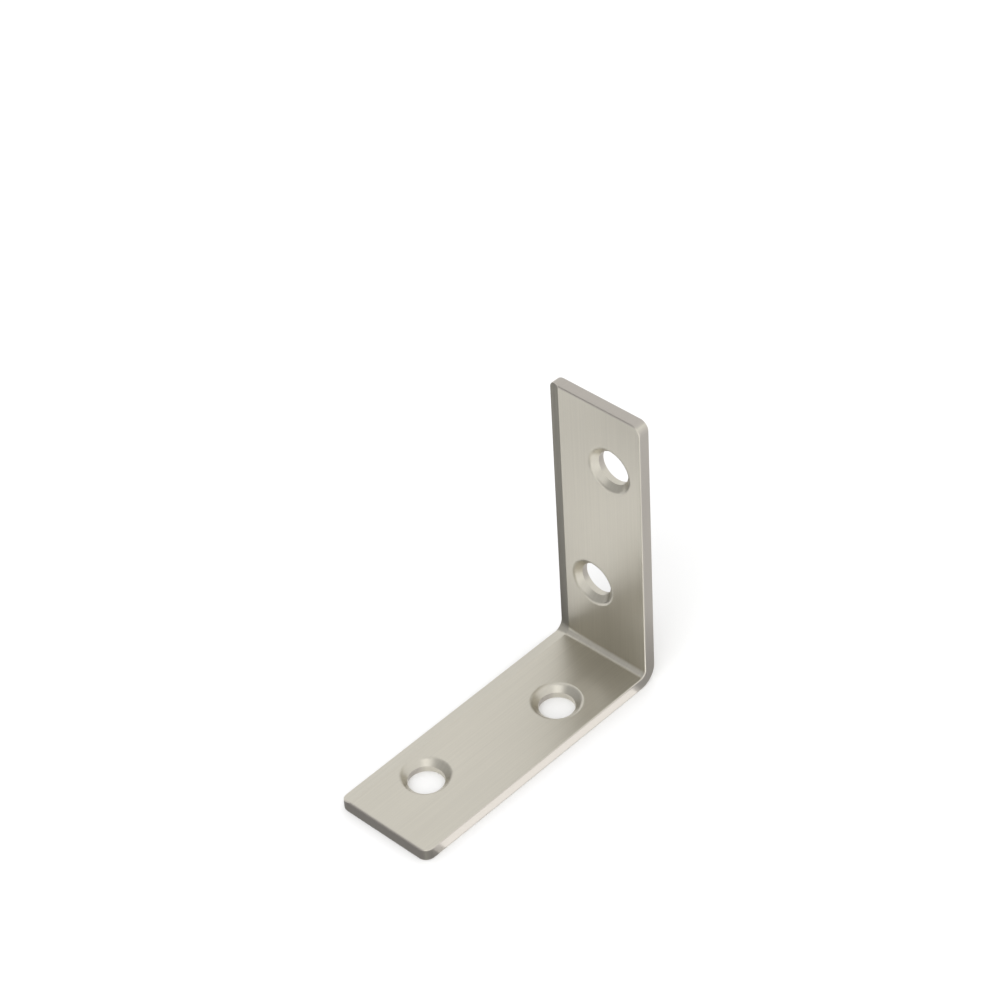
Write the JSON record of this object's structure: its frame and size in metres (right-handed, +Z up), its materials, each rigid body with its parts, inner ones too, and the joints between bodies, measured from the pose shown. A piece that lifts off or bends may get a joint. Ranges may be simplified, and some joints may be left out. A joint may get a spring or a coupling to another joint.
{
  "type": "angle bracket",
  "caption": "Equal-leg angle bracket folded square from steel strip, with rounded leg corners and staggered countersunk screw holes, for joining two boards at a right angle.",
  "frame": {"origin": "the corner where the planes of the two outer faces meet, at mid width", "axes": "+X along the lying leg, +Z up along the standing leg, +Y across the width"},
  "size_m": [0.038, 0.0134, 0.038],
  "materials": {
    "satin_stainless": "satin, brushed along the strip"
  },
  "bodies": {
    "root": {"bracket_plate": "satin_stainless"}
  },
  "joints": []
}
